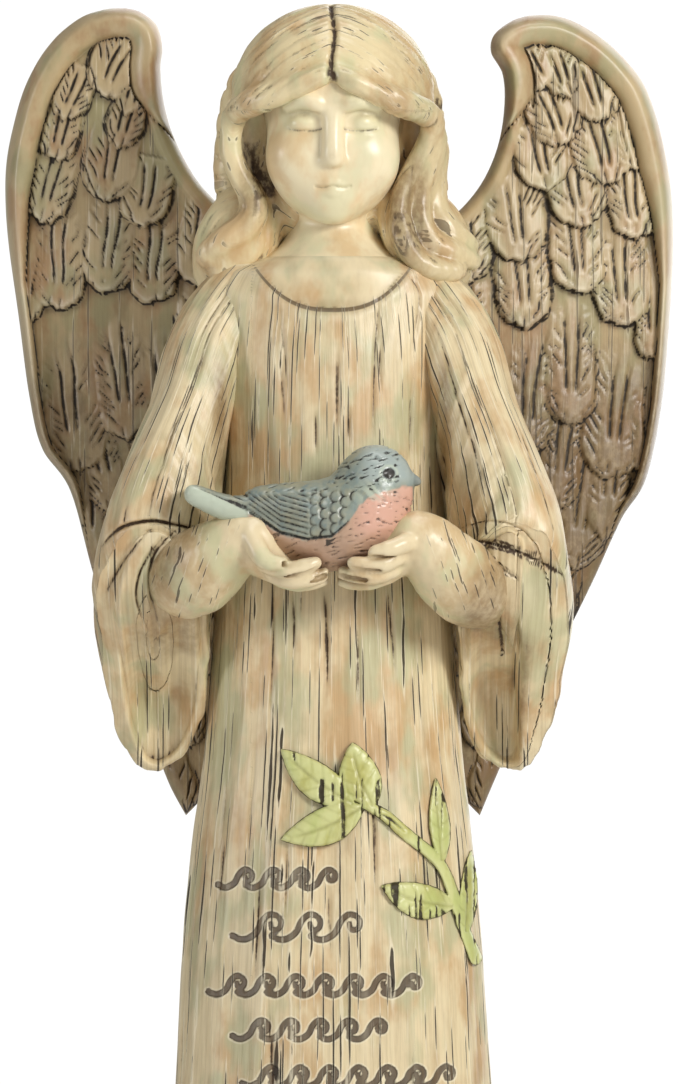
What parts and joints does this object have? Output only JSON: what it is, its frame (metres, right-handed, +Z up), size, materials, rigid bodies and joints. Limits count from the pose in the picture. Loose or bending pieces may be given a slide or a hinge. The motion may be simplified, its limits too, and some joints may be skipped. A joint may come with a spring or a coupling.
{
  "type": "angel figurine",
  "caption": "Free-standing cast-resin angel figurine in a long robe, with swept feathered wings and a small bird held in cupped hands.",
  "frame": {"origin": "centre of the felt face that the figurine stands on", "axes": "+Z up; the figure faces -Y; +X is the figure's own left"},
  "size_m": [0.1468, 0.0845, 0.3],
  "materials": {
    "robe_resin": "satin",
    "skin_resin": "satin",
    "hair_resin": "satin",
    "wing_resin": "satin",
    "bird_paint": "satin",
    "leaf_paint": "satin",
    "plug_plastic": "matte",
    "felt": "matte",
    "steel": "satin"
  },
  "bodies": {
    "root": {"robe": "robe_resin", "base_plug": "plug_plastic", "base_felt": "felt", "head": "skin_resin", "hair": "hair_resin", "right_sleeve": "robe_resin", "left_sleeve": "robe_resin", "right_arm": "skin_resin", "left_arm": "skin_resin", "bird": "bird_paint", "right_wing": "wing_resin", "left_wing": "wing_resin", "wing_dowels": "steel", "leaf_sprig": "leaf_paint"}
  },
  "joints": []
}
